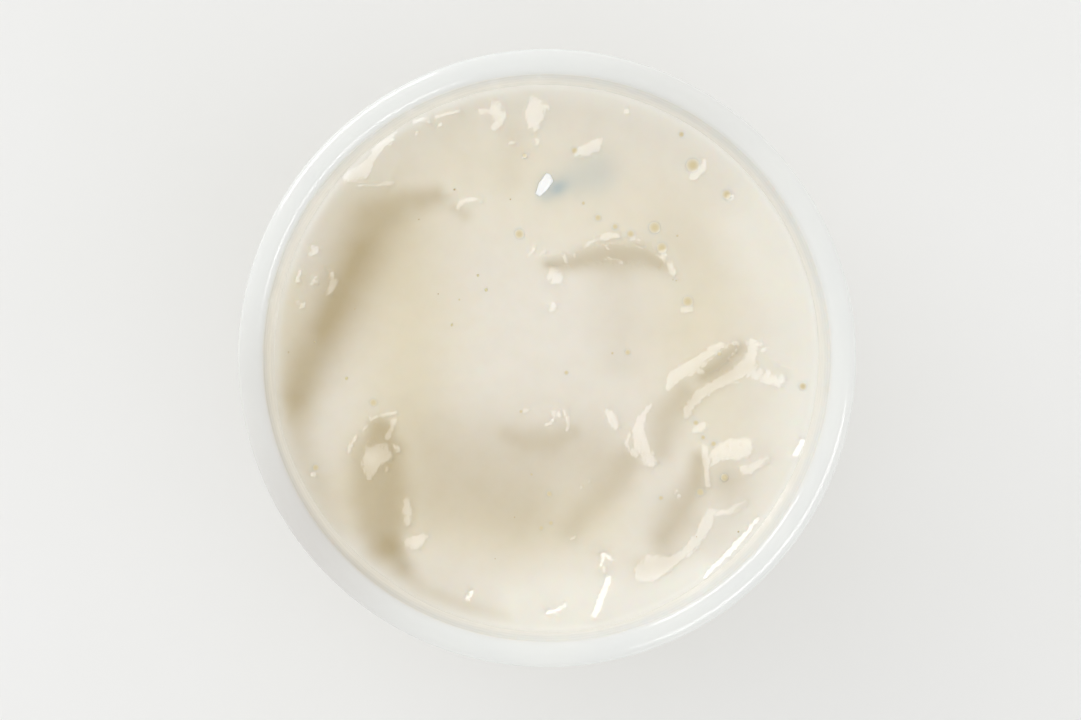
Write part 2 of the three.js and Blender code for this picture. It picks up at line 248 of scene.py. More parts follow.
# Where the cream is yellower, in the same form
WARMTHS = [
    (0.55, 1, [(-20, 17, 6), (-17, 5, 7), (-18, -7, 6), (-22, -16, 5)]),
    (0.35, 1, [(-10, 24, 7), (4, 20, 8), (15, 17, 7), (20, 8, 6)]),
    (0.35, 1, [(18, 1, 6), (21, -8, 6)]),
    (0.4, 1, [(-14, -20, 5), (-4, -22, 5), (6, -20, 5)]),
    (0.4, 1, [(-31.5, 9, 2.5), (-31, -6, 2.5)]),
]

# Painted light: where the cream is painted paler, near the wall where light comes through it, in the same
# form
PAINTED_LIGHT = [
    (0.4, 1, [(25, 16, 4), (29.5, 8, 4), (30.5, -2, 3.5), (29.5, -9, 3.5)]),
    (0.42, 1, [(-4, -30, 2.5), (2, -29.2, 3.2), (10, -29, 2.6), (19, -26, 2)]),
    (0.15, 1, [(11.5, 19.6, 5)]),
]

# The crumb's blue-grey, seen through the skin over it
VEILS = [
    (0.42, 1, [(0.4, 21.0, 1.7), (2.8, 21.9, 2.1), (6.2, 22.8, 2.6)]),
    (0.3, 1, [(-0.2, 20.1, .8), (1.2, 20.7, .9), (2.1, 21.3, .8)]),
    (0.4, 1, [(1.3, 21.0, .7)]),
]

# Beads of oil and air in the skin: x, y, radius, and how much it bulges for its radius
BEADS = [
    (-3.4, 15.3, .5, .05), (6.3, 17.3, .35, .05), (8.4, 16.2, .3, .05), (10.3, 15.3, .4, .05),
    (13.3, 16.1, .6, .1), (14.2, 13.6, .55, .05), (22.2, 20.2, .5, .05), (4.5, 19.1, .2, .05),
    (16.1, 15.1, .15, .05), (16.6, 27.6, .3, .05), (17.4, 7, .55, .1), (-21.4, -5.5, .4, .05),
    (-28.5, -13.5, .35, .05), (10, .7, .3, .05), (8.1, .6, .15, .05), (2.4, -1.8, .25, .05),
    (31.7, -3.5, .4, .05), (-3.2, -6.6, .2, .05), (20.6, -10.6, .3, .05), (18.4, -8, .3, .05),
    (19.3, -9.8, .25, .05), (19, -16.6, .4, .05), (14.1, -17.3, .25, .05), (-1.9, -14.4, .15, .05),
    (.3, -16.8, .3, .05), (.5, -20.4, .25, .05), (-.7, -21, .25, .05), (-2.75, 25, .25, .05),
    (3.4, 25.6, .35, .05), (18, 23.8, .7, .05), (21.3, .5, .25, .05), (22, -14.8, .42, .45),
    (-28.7, 2, .12, .45), (16, 9.6, .1, .45), (15.6, 9.7, .08, .45),
]

# How much wider a bead is made, as its rim is lost in the cream, and how far it stands proud all over
BEAD_SPREAD = 1.25
BEAD_PROUD = 0.006

# Specks of pepper and of herb: x, y, radius
PEPPER = [
    (-11.4, 20.8, .18), (-4.5, 19.6, .12), (-31.9, .7, .15), (-23.7, 6.1, .16), (-4, -19.7, .12),
    (-6.4, -24.8, .1), (23.7, -21.5, .15), (18.5, -22.1, .1), (-15.8, 17.1, .15), (-13.4, 7.9, .12),
]
HERB = [
    (-24.7, -2.5, .25), (-11.7, 4.1, .2), (-10.8, 7.2, .15), (-8.5, 10.2, .2), (-7.5, 8.4, .28),
]

# Where the crumb stands out of the dressing: its outline and the two ends of its ridge
TIP_OUTLINE = [(-1.4, 20.3), (-1.0, 21.6), (-0.1, 22.8), (0.4, 22.7), (0.9, 21.8), (0.1, 20.7),
               (-0.9, 19.9)]
TIP_RIDGE = [(-0.55, 21.9), (0.5, 21.95)]

# How far the tip's ridge rises and its foot goes down, and how much wider the foot is
TIP_RISE = 0.3
TIP_DEPTH = 0.9
TIP_FLARE = 1.15

# The crumb's sunk lump: share of its box that it fills, and how deep it stays under the skin
LUMP_SHARE = 0.92
LUMP_COVER = 0.15

# Voxels that fuse lump and tip, and the depth at which the curd is fully veined
FUSE_VOXEL = 0.07
VEIN_DEPTH = 0.3

# Painted shade on the cup, darker round one side where less light falls: amount, azimuth of its middle,
# spread in degrees
LIP_SHADES = [(0.9, 216, 24), (0.3, 182, 14), (0.3, 60, 24)]

# Sides of the cup, as azimuth and spread: where the dressing is heaped up the wall, where its film
# stands highest on the wall, and where the haze next to the wall is thinnest
BANK_SIDE = (150, 62)
FILM_SIDE = (165, 75)
BARE_SIDE = (212, 48)

# Film of dressing on the inner wall: its height over the dressing, what its high side adds to that,
# and the height over which it fades
FILM_HEIGHT = 3.6
FILM_RISE = 1.8
FILM_FADE = 2.6

# Haze on the dressing next to the wall, partly its thin film and partly painted light, standing in for light
# through the wall and lifting the shade where skin and wall meet: amounts of the wide and of the narrow
# haze, how much narrower the wide one is at the bank, and how much thinner both are on the bare side
WIDE_HAZE = 0.55
NARROW_HAZE = 0.45
BANK_NARROWER = 0.6
BARE_THINNER = 0.75

# How near to the wall light spreads less inside the dressing
SPREAD_REACH = 1.2

# How much of the dressing's colour shows through the wall, and the height over which that fades
SHOW_THROUGH = 0.7
SHOW_FADE = 1

# Depths of the faint moulded rings inside the collar, from the crown of the lip
RING_DEPTHS = (1.9, 3.0, 4.2)

# Grid on which the skin is shaped: size of a cell, cells each way, and rounds of fitting
CELL = 0.12
CELLS = 800
ROUNDS = 60

# Length over which the shaped skin is softened, and how far a round eases what is too steep
EDGE_BLUR = 0.1
EASING = 0.5

# Steepest slope of the calm skin, the same where it leans towards the high light, and how sharply one
# passes into the other
CALM = 0.45
CALM_TO_LIGHT = 0.17
CALM_TURN = 1.5

# What is added to each crease's half width. In half widths: how far round a crease the grid is looked
# at, where the crease's edge ends, and how wide that edge is
CREASE_EDGE = 0.04
CREASE_MARGIN = 1.5
EDGE_END = 1.25
EDGE_WIDTH = 0.3

# How uneven the edge of a crease is, over what length, and the half width from which it is all of that
RAGGED = 0.13
RAG_LENGTH = 0.4
RAG_WIDTH = 0.6

# Width over which the left reach of a path passes into its right one
SIDE_BLEND = 0.5

# From how much of a hold a place counts as creased, and the margins round it within which the cells of
# the skin are halved, once in each
CREASED = 0.02
REFINE_MARGINS = (1.3, 0.12)

# How round the crown of the lip is: 1 is an ellipse, less is flatter on top and tighter at its sides
SQUARISH = 0.93


def linear(hex_colour):
    """An sRGB hex colour as linear red, green, blue and alpha."""
    channels = [int(hex_colour[i:i + 2], 16) / 255 for i in (0, 2, 4)]
    return tuple(c / 12.92 if c <= 0.04045 else ((c + 0.055) / 1.055) ** 2.4 for c in channels) + (1,)


def length(name, description, millimetres):
    """A property that holds a length, with its default in millimetres."""
    return FloatProperty(
        name=name, description=description, default=millimetres * MM, min=0, unit="LENGTH", precision=5
    )


def colour(name, description, hex_colour):
    """A property that holds a colour."""
    return FloatVectorProperty(
        name=name, description=description, default=linear(hex_colour), size=4, subtype="COLOR", min=0, max=1
    )


class CupSettings(bpy.types.PropertyGroup):
    """Sizes of the moulded cup."""

    height: length("Height", "From the foot to the crown of the lip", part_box("cup")[1].z / MM)
    lip_radius: length("Lip radius", "Outer edge of the skirt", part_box("cup")[1].x / MM)
    mouth_radius: length("Mouth radius", "Inner edge of the lip", 34.4)
    lip_crown: length("Lip crown", "How far the lip arches over its edges", 0.95)
    skirt_depth: length("Skirt depth", "From the crown down to the skirt's edge", 2.8)
    wall: length("Wall", "Thickness of the plastic", 0.7)
    collar_depth: length("Collar depth", "From the crown down to the stacking shoulder", 10)
    collar_foot_radius: length("Collar foot radius", "Inside radius just over the shoulder", 33)
    shoulder_step: length("Shoulder step", "How far the shoulder narrows the cup", 0.9)
    shoulder_drop: length("Shoulder drop", "Height of the shoulder", 1)
    floor_radius: length("Floor radius", "Inside, where wall and floor would meet", 25.6)
    floor_height: length("Floor height", "Top of the raised floor", 1.5)
    foot_ring_width: length("Foot ring width", "Flat ring that the cup stands on", 3.2)
    foot_recess: length("Foot recess", "How far the floor's underside is raised", 0.8)
    ring_height: length("Ring height", "Of each faint moulded ring inside the collar", 0.8)
    ring_relief: length("Ring relief", "How far a ring stands out of the wall", 0.004)
    segments: IntProperty(name="Segments", description="Steps round the cup", default=288, min=32)
    plastic: colour("Plastic", "Milky polypropylene", "eff0ed")
    # Painted shade: the plastic painted darker round one side of the cup, where less light falls
    shaded_plastic: colour("Tinted plastic", "Where the dressing shows through the lip", "dddbd7")
    backed: colour("Backed plastic", "Where the dressing stands right behind the wall", "ece5d3")


class DressingSettings(bpy.types.PropertyGroup):
    """Sizes and colours of the dressing and what is in it."""

    fill_level: length("Fill level", "Mean height of the skin over the foot", 34.8)
    meniscus: length("Meniscus", "How far the skin climbs the wall", 0.7)
    meniscus_reach: length("Meniscus reach", "How far from the wall that fades", 1.6)
    bank: length("Bank", "How far the skin is heaped up the wall at the upper left", 2)
    bank_reach: length("Bank reach", "How far from the wall the bank extends", 3.4)
    wall_bite: length("Wall bite", "How far the dressing reaches into the wall", 0.05)
    coarse_cells: IntProperty(name="Coarse cells", description="Across the skin", default=150, min=20)
    cream: colour("Cream", "The dressing", "ebe6db")
    # Colour of the painted shade in hollows, under folds and below the lump
    painted_shade: colour("Oil", "Where oil has gathered", "c5b694")
    butter: colour("Butter", "Where the cream is yellower", "e9e0c3")
    # Haze: partly the thin film where dressing meets wall, partly painted light next to the wall and in pale
    # patches near it
    haze_and_painted_light: colour("Haze", "Thin film of the dressing where it meets the wall", "fbf8ef")
    haze_reach: length("Haze reach", "How far from the wall that fades", 2.2)
    contact_reach: length("Contact reach", "How far from the wall the film is thickest", 0.45)
    veil: colour("Veil", "The crumb seen through the skin", "bfc7c4")
    curd: colour("Curd", "White of the cheese", "fcfdfa")
    mould: colour("Mould", "Blue-grey veins of the cheese", "8f9a97")


class StudioSettings(bpy.types.PropertyGroup):
    """Camera, lights and floor."""

    eye_height: length("Eye height", "Camera over the lip", 300)
    eye_x: FloatProperty(name="Eye X", description="Camera off the axis", default=-0.79 * MM, unit="LENGTH")
    eye_y: FloatProperty(name="Eye Y", description="Camera off the axis", default=-0.24 * MM, unit="LENGTH")
    view_width: length("View width", "Width of the picture at the lip", 130.8)
    light_distance: length("Light distance", "From the dressing", 900)
    sky: FloatProperty(name="Sky", description="Brightness of the room all round", default=0.9, min=0)
    floor_colour: colour("Floor", "Pale matt tabletop", "ededec")


class DressingCupSettings(bpy.types.PropertyGroup):
    """Everything that the panel shows."""

    cup: PointerProperty(type=CupSettings)
    dressing: PointerProperty(type=DressingSettings)
    studio: PointerProperty(type=StudioSettings)


# Two soft boxes, whose reflections show, and a wider fill from each side, which doesn't: azimuth and
# angle from the zenith in degrees, length and height in metres, radiance
HIGH_LIGHT = {"azimuth": -40, "zenith": 36, "size": (0.61, 0.26), "radiance": 4.2}
LOW_LIGHT = {"azimuth": 131, "zenith": 66, "size": (0.59, 0.31), "radiance": 7.0}
HIGH_FILL = {"azimuth": -40, "zenith": 36, "size": (0.8, 0.8), "radiance": 0.4}
LOW_FILL = {"azimuth": 131, "zenith": 70, "size": (1.0, 1.0), "radiance": 0.75}


def toward(light):
    """Unit vector from the cup to a light."""
    azimuth, zenith = math.radians(light["azimuth"]), math.radians(light["zenith"])
    return Vector((math.cos(azimuth) * math.sin(zenith), math.sin(azimuth) * math.sin(zenith),
                   math.cos(zenith)))


def rounded(corners, steps=5):
    """Points of a profile of (radius, height, fillet), with an arc at each corner that has a fillet."""
    points = []
    for i, (radius, height, fillet) in enumerate(corners):
        here = Vector((radius, height))
        if not fillet:
            points.append(here)
            continue
        back = (Vector(corners[i - 1][:2]) - here).normalized()
        ahead = (Vector(corners[i + 1][:2]) - here).normalized()
        half = back.angle(ahead) / 2
        centre = here + (back + ahead).normalized() * (fillet / math.sin(half))
        start = here + back * (fillet / math.tan(half)) - centre
        end = here + ahead * (fillet / math.tan(half)) - centre
        sweep = math.atan2(start.cross(end), start.dot(end))
        for k in range(steps + 1):
            points.append(centre + Matrix.Rotation(sweep * k / steps, 2) @ start)
    return points


def arch(start, end, foot, rise, steps=16):
    """Corners of half a squarish ellipse that arches up between two radii."""
    corners = []
    for k in range(steps + 1):
        angle = math.pi * k / steps
        across = math.copysign(abs(math.cos(angle)) ** SQUARISH, math.cos(angle))
        height = foot + rise * max(math.sin(angle), 0) ** SQUARISH
        corners.append((start + (end - start) * (1 - across) / 2, height, 0))
    return corners


def inside_corners(cup, inset=0.0):
    """Inside of the cup from the floor's centre up to the collar's foot, moved inwards by inset."""
    shoulder = cup.height - cup.collar_depth
    return [
        (0, cup.floor_height + inset, 0),
        (cup.floor_radius - inset, cup.floor_height + inset, 3 * MM),
        (cup.collar_foot_radius - cup.shoulder_step - inset, shoulder - cup.shoulder_drop, 0.8 * MM),
        (cup.collar_foot_radius - inset, shoulder, 0.8 * MM),
    ]


def collar_radius(cup, height):
    """Radius of the collar's inside at a height over the foot. Takes numbers or arrays."""
    run = cup.collar_depth - cup.lip_crown
    share = (height - (cup.height - cup.collar_depth)) / run
    return cup.collar_foot_radius + (cup.mouth_radius - cup.collar_foot_radius) * share


def wall_rings(cup, heights, steps=8):
    """Corners down the collar's inside: a faint rounded ring at each height, from the top one."""
    corners = []
    for height in heights:
        for k in range(steps + 1):
            z = height + cup.ring_height * (0.5 - k / steps)
            relief = cup.ring_relief * (1 - math.cos(2 * math.pi * k / steps)) / 2
            corners.append((collar_radius(cup, z) - relief, z, 0))
    return corners


# Distances and reliefs on the grid, all in millimetres

def nearest(path, x, y):
    """Distance from a path, 1 at the reach that it has on that side."""
    path = [point if len(point) == 4 else (*point, point[2]) for point in path]
    if len(path) == 1:
        return np.hypot(x - path[0][0], y - path[0][1]) / path[0][2]
    best = np.full(np.shape(x), np.inf)
    for (ax, ay, a_left, a_right), (bx, by, b_left, b_right) in zip(path, path[1:]):
        dx, dy = bx - ax, by - ay
        along = np.clip(((x - ax) * dx + (y - ay) * dy) / (dx * dx + dy * dy), 0, 1)
        off_x, off_y = x - ax - along * dx, y - ay - along * dy
        off_line = (dx * off_y - dy * off_x) / math.hypot(dx, dy)
        on_left = np.clip(0.5 + off_line / SIDE_BLEND, 0, 1)
        left = a_left + along * (b_left - a_left)
        right = a_right + along * (b_right - a_right)
        best = np.minimum(best, np.hypot(off_x, off_y) / (left * on_left + right * (1 - on_left)))
    return best


def painted(layers, x, y):
    """Sum of soft bands along paths."""
    total = np.zeros(np.shape(x))
    for amount, squareness, path in layers:
        total += amount * np.exp(-nearest(path, x, y) ** (2 * squareness))
    return total


def around(path, margin):
    """The part of the grid within a margin of a path."""
    points = np.array([point[:2] for point in path])
    start = -CELL * CELLS / 2
    low = np.floor((points.min(0) - margin - start) / CELL).astype(int).clip(0, CELLS)
    high = np.ceil((points.max(0) + margin - start) / CELL).astype(int).clip(0, CELLS)
    return slice(low[1], high[1]), slice(low[0], high[0])


def facing(x, y, azimuth, spread, power=4):
    """1 at an azimuth round the cup, falling to 0 on both sides of it."""
    turn = np.degrees(np.arctan2(y, x)) - azimuth
    return np.exp(-np.abs(((turn + 180) % 360 - 180) / spread) ** power)


def banked(x, y):
    """1 round the side where the dressing is heaped up the wall, 0 elsewhere."""
    return facing(x, y, *BANK_SIDE)


def broad_relief(x, y, rim, dressing):
    """Forms, meniscus and bank, before any crease."""
    height = np.zeros(x.shape)
    for rise, path in FORMS:
        part = around(path, 3 * max(point[2] for point in path))
        height[part] += rise * np.exp(-nearest(path, x[part], y[part]) ** 2)
    to_wall = np.maximum(rim - np.hypot(x, y), 0)
    meniscus = dressing.meniscus / MM * np.exp(-to_wall / (dressing.meniscus_reach / MM))
    bank = dressing.bank / MM * np.exp(-(to_wall / (dressing.bank_reach / MM)) ** 2)
    share = banked(x, y)
    return height + meniscus * (1 - share) + bank * share


def mirror_slopes(x, y, light, eye):
    """Slopes along X and Y that turn a light's reflection to the eye."""
    view = np.array(eye) - np.stack([x, y, np.zeros(x.shape)], -1)
    view /= np.linalg.norm(view, axis=-1, keepdims=True)
    half = view + np.array(toward(light))
    return -half[..., 0] / half[..., 2], -half[..., 1] / half[..., 2]


def steepness_allowed(slope_x, slope_y):
    """Steepness, and the most it may be so that no light is caught by chance."""
    light = toward(HIGH_LIGHT).xy.normalized()
    steep = np.hypot(slope_x, slope_y) + 1e-9
    to_light = np.clip(-(slope_x * light.x + slope_y * light.y) / steep * CALM_TURN, 0, 1)
    return steep, CALM + (CALM_TO_LIGHT - CALM) * to_light


def ragged(seed):
    """Smooth uneven shifts over the grid that roughen the edges of creases."""
    spectrum = np.fft.rfft2(np.random.default_rng(seed).standard_normal((CELLS, CELLS)))
    waves = np.hypot(np.fft.rfftfreq(CELLS, CELL)[None, :], np.fft.fftfreq(CELLS, CELL)[:, None])
    shift = np.fft.irfft2(spectrum * np.exp(-(waves * RAG_LENGTH) ** 2), s=(CELLS, CELLS))
    return shift / shift.std()


def sculpt(dressing, studio, rim):
    """The skin's height on the grid, and how creased it is there.

    Wanted slopes come from the broad relief, kept calm, and from the falls and creases. The surface
    that fits them best is then found in the frequency domain, with the creases held.
    """
    axis = (np.arange(CELLS) - CELLS / 2) * CELL
    x, y = np.meshgrid(axis, axis)
    want_y, want_x = np.gradient(broad_relief(x, y, rim, dressing), CELL)
    steep, allowed = steepness_allowed(want_x, want_y)
    calm = allowed * np.tanh(steep / allowed) / steep
    want_x, want_y = want_x * calm, want_y * calm
    held = np.zeros(x.shape)
    rag_x, rag_y = ragged(1), ragged(2)

    def lean(path, slopes):
        """Holds the skin to slopes along a path."""
        widest = max(point[2] for point in path)
        part = around(path, CREASE_MARGIN * widest + RAGGED)
        rag = RAGGED * min(1, widest / RAG_WIDTH)
        away = nearest(path, x[part] + rag * rag_x[part], y[part] + rag * rag_y[part])
        share = np.clip((EDGE_END - away) / EDGE_WIDTH, 0, 1)
        share = share * share * (3 - 2 * share)
        slope_x, slope_y = slopes(x[part], y[part])
        want_x[part] += share * (slope_x - want_x[part])
        want_y[part] += share * (slope_y - want_y[part])
        held[part] = np.maximum(held[part], share)

    eye = (studio.eye_x / MM, studio.eye_y / MM, studio.eye_height / MM)
    for slope, faces, path in FALLS:
        fall = Vector((-slope, 0)) @ Matrix.Rotation(-math.radians(faces), 2)
        lean(path, lambda px, py, fall=fall: (fall.x, fall.y))
    for light, paths in ((HIGH_LIGHT, CREASES), (LOW_LIGHT, LOW_CREASES)):
        for path in paths:
            wider = [(px, py, reach + CREASE_EDGE) for px, py, reach in path]
            lean(wider, lambda px, py, light=light: mirror_slopes(px, py, light, eye))

    wave_x = 2 * np.pi * np.fft.rfftfreq(CELLS, CELL)[None, :]
    wave_y = 2 * np.pi * np.fft.fftfreq(CELLS, CELL)[:, None]
    squared = wave_x ** 2 + wave_y ** 2
    weight = -1j / (squared * (1 + EDGE_BLUR ** 2 * squared) + 1e-4)
    push_x, push_y = want_x.copy(), want_y.copy()
    for _ in range(ROUNDS):
        spectrum = wave_x * np.fft.rfft2(push_x) + wave_y * np.fft.rfft2(push_y)
        height = np.fft.irfft2(spectrum * weight, s=x.shape)
        now_y, now_x = np.gradient(height, CELL)
        steep, allowed = steepness_allowed(now_x, now_y)
        excess = np.clip(1 - allowed / steep, 0, 1) * (1 - held) * EASING
        push_x += held * (want_x - now_x) - excess * now_x
        push_y += held * (want_y - now_y) - excess * now_y
    height -= np.median(height[np.hypot(x, y) < rim])
    return height, held


def sample(grid, x, y):
    """Smooth values of a grid at points, by cubic interpolation."""
    column, row = x / CELL + CELLS / 2, y / CELL + CELLS / 2
    first_column, first_row = np.floor(column).astype(int), np.floor(row).astype(int)
    across, down = column - first_column, row - first_row

    def cubic(t):
        return (((-t + 2) * t - 1) * t / 2, ((3 * t - 5) * t * t + 2) / 2,
                ((-3 * t + 4) * t + 1) * t / 2, (t - 1) * t * t / 2)

    total = np.zeros(np.shape(x))
    for i, row_weight in enumerate(cubic(down)):
        for k, column_weight in enumerate(cubic(across)):
            total += row_weight * column_weight * grid[first_row + i - 1, first_column + k - 1]
    return total


class Skin:
    """The dressing's top: its height in metres at any place, in metres."""

    def __init__(self, settings):
        self.level = settings.dressing.fill_level
        self.rim = collar_radius(settings.cup, self.level) / MM
        self.grid, self.held = sculpt(settings.dressing, settings.studio, self.rim)

    def at(self, x, y):
        """Height over the foot at places in metres. Beyond the wall it stays as it is there."""
        x, y = np.asarray(x) / MM, np.asarray(y) / MM
        inward = np.minimum(1, self.rim / np.maximum(np.hypot(x, y), CELL))
        return self.level + sample(self.grid, x * inward, y * inward) * MM

    def creased(self, x, y, margin):
        """Whether a crease is within a margin of places on the disc, in millimetres."""
        shifts = range(-int(margin / CELL), int(margin / CELL) + 1)
        wide = self.held > CREASED
        for axis in (0, 1):
            wide = functools.reduce(np.logical_or, [np.roll(wide, shift, axis) for shift in shifts])
        column = np.clip((x / CELL + CELLS / 2).round().astype(int), 0, CELLS - 1)
        row = np.clip((y / CELL + CELLS / 2).round().astype(int), 0, CELLS - 1)
        return wide[row, column]


@functools.cache
def shared_skin():
    """The skin, worked out once for all the pieces that lie in it."""
    return Skin(bpy.context.scene.dressing_cup)


# Node and object helpers

def add_node(tree, kind, settings=None, inputs=None):
    """Adds a node. Inputs maps a socket's name or number to a value or to another node's output."""
    node = tree.nodes.new(kind)
    for name, value in (settings or {}).items():
        setattr(node, name, value)
    for name, value in (inputs or {}).items():
        if isinstance(value, bpy.types.NodeSocket):
            tree.links.new(value, node.inputs[name])
        else:
            node.inputs[name].default_value = value
    return node


def new_material(name):
    """An empty material and its node tree."""
    material = bpy.data.materials.new(name)
    material.use_nodes = True
    material.node_tree.nodes.clear()
    return material, material.node_tree


def blotches(tree, size_mm, levels, values, detail=2.0):
    """A factor that varies in blotches about that many millimetres across, as a socket.

    The two levels of the noise give the two values, and what is between them passes over evenly.
    """
    place = add_node(tree, "ShaderNodeTexCoord").outputs["Object"]
    level = add_node(tree, "ShaderNodeTexNoise", inputs={
        "Vector": place, "Scale": 1 / (size_mm * MM), "Detail": detail,
    }).outputs["Fac"]
    return add_node(tree, "ShaderNodeMapRange", {"clamp": True}, {
        "Value": level, "From Min": levels[0], "From Max": levels[1],
        "To Min": values[0], "To Max": values[1],
    }).outputs["Result"]


def ripples(tree, size_mm, depth_mm, detail, strength=1.0):
    """Uneven relief, about that many millimetres across and deep, as a normal."""
    place = add_node(tree, "ShaderNodeTexCoord").outputs["Object"]
    level = add_node(tree, "ShaderNodeTexNoise", inputs={
        "Vector": place, "Scale": 1 / (size_mm * MM), "Detail": detail,
    }).outputs["Fac"]
    return add_node(tree, "ShaderNodeBump", inputs={
        "Strength": strength, "Distance": depth_mm * MM, "Height": level,
    }).outputs["Normal"]


def layered(tree, base, *layers):
    """A colour with others laid over it in turn, as a socket.

    Each layer is a colour and its share, which is a socket or the name of one of the piece's tones.
    """
    for over, share in layers:
        if isinstance(share, str):
            share = add_node(tree, "ShaderNodeAttribute", {"attribute_name": share}).outputs["Fac"]
        mixed = add_node(tree, "ShaderNodeMix", {"data_type": "RGBA"}, {0: share, 6: base, 7: over})
        base = mixed.outputs[2]
    return base


def build(name, bm, material, replaces=(), smooth=True):
    """Turns a bmesh into a finished piece that rides on the cup."""
    mesh = bpy.data.meshes.new(name)
    for face in bm.faces:
        face.smooth = smooth
    bm.to_mesh(mesh)
    bm.free()
    mesh.materials.append(material)
    piece = bpy.data.objects.new(name, mesh)
    bpy.context.scene.collection.objects.link(piece)
    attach(piece, BODY)
    if replaces:
        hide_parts(*replaces)
    return piece


def store(piece, name, values):
    """Keeps one number for each vertex as an attribute."""
    layer = piece.data.attributes.new(name, "FLOAT", "POINT")
    layer.data.foreach_set("value", np.asarray(values, np.float32))


def places(piece):
    """The piece's vertices as an array of x, y, z."""
    flat = np.empty(3 * len(piece.data.vertices), np.float32)
    piece.data.vertices.foreach_get("co", flat)
    return flat.reshape(-1, 3).astype(float)


def store_tones(piece, skin, dressing, x, y):
    """Keeps the painted shade, how yellow the dressing is, its haze and painted light, and how veiled it is,
    at places in millimetres.
    """
    to_wall = np.maximum(skin.rim - np.hypot(x, y), 0)
    wide_reach = dressing.haze_reach / MM * (1 - BANK_NARROWER * banked(x, y))
    narrow_reach = dressing.contact_reach / MM
    haze_and_painted_light = WIDE_HAZE * np.exp(-(to_wall / wide_reach) ** 2)
    haze_and_painted_light += NARROW_HAZE * np.exp(-(to_wall / narrow_reach) ** 2)
    haze_and_painted_light *= 1 - BARE_THINNER * facing(x, y, *BARE_SIDE)
    # Painted light: the haze and the pale patches lighten the cream next to the wall
    store(piece, "haze_and_painted_light", np.clip(haze_and_painted_light + painted(PAINTED_LIGHT, x, y), 0, 1))
    store(piece, "warmth", np.clip(painted(WARMTHS, x, y), 0, 1))
    store(piece, "painted_shade", painted(PAINTED_SHADES, x, y))
    store(piece, "veil", painted(VEILS, x, y))


# Materials

def milky_polypropylene(settings):
    """Thermoformed polypropylene: milky, half clear, glossy and faintly wavy along the lip. The
    dressing shows through it, and leaves a thin film on its inner wall that fades out upwards. The plastic
    is painted darker round one side as painted shade, and the film takes the haze colour, which is partly
    painted light."""
    material, tree = new_material("milky_polypropylene")
    cloudy = blotches(tree, 9, (0.35, 0.65), (0.0, 0.25))
    film = add_node(tree, "ShaderNodeAttribute", {"attribute_name": "film"}).outputs["Fac"]
    bare = add_node(tree, "ShaderNodeMapRange", {"clamp": True}, {
        "Value": film, "From Min": 0.0, "From Max": 0.4, "To Min": 1.0, "To Max": 0.0,
    })
    shader = add_node(tree, "ShaderNodeBsdfPrincipled", inputs={
        "Base Color": layered(tree, settings.cup.plastic, (linear("e7e9e9"), cloudy),
                              (settings.cup.shaded_plastic, "lip_shade"), (settings.cup.backed, "backing"),
                              (settings.dressing.haze_and_painted_light, film)),
        "Roughness": blotches(tree, 3, (0.3, 0.7), (0.03, 0.07)),
        "IOR": 1.49,
        "Transmission Weight": 0.05,
        "Subsurface Weight": bare.outputs["Result"],
        "Subsurface Radius": (1.0, 1.0, 1.0),
        "Subsurface Scale": 0.4 * MM,
        "Normal": ripples(tree, 1.7, 0.03, detail=1.0),
    })
    add_node(tree, "ShaderNodeOutputMaterial", inputs={"Surface": shader.outputs["BSDF"]})
    return material


def emulsion_base(tree, dressing):
    """Cream with painted shade in hollows and under folds, yellower in places, paler next to the wall with
    haze and painted light, and greyer over the crumb, as a colour socket.
    """
    uneven = add_node(tree, "ShaderNodeMath", {"operation": "ADD"}, {
        0: blotches(tree, 14, (0.35, 0.65), (0.0, 0.06), detail=3.0),
        1: blotches(tree, 2.2, (0.4, 0.7), (0.0, 0.05), detail=3.0),
    })
    # Painted shade, with uneven mottling added to it
    painted_shade = add_node(tree, "ShaderNodeAttribute", {"attribute_name": "painted_shade"})
    shade_and_mottling = add_node(tree, "ShaderNodeMath", {"operation": "ADD", "use_clamp": True}, {
        0: painted_shade.outputs["Fac"],
        1: uneven.outputs[0],
    })
    return layered(tree, dressing.cream, (dressing.butter, "warmth"), (dressing.painted_shade, shade_and_mottling.outputs[0]),
                   (dressing.haze_and_painted_light, "haze_and_painted_light"), (dressing.veil, "veil"))


def whipped_emulsion(settings):
    """Mayonnaise-like emulsion, stirred and poured: a wet, glossy skin over a dense cream through
    which light spreads about a millimetre."""
    material, tree = new_material("whipped_emulsion")
    spread = add_node(tree, "ShaderNodeAttribute", {"attribute_name": "spread"})
    shader = add_node(tree, "ShaderNodeBsdfPrincipled", inputs={
        "Base Color": emulsion_base(tree, settings.dressing),
        "Roughness": 0.06,
        "IOR": 1.45,
        "Subsurface Weight": spread.outputs["Fac"],
        "Subsurface Radius": (1.0, 0.8, 0.6),
        "Subsurface Scale": 0.5 * MM,
        "Normal": ripples(tree, 0.8, 0.004, detail=2.0),
    })
    add_node(tree, "ShaderNodeOutputMaterial", inputs={"Surface": shader.outputs["BSDF"]})
    return material


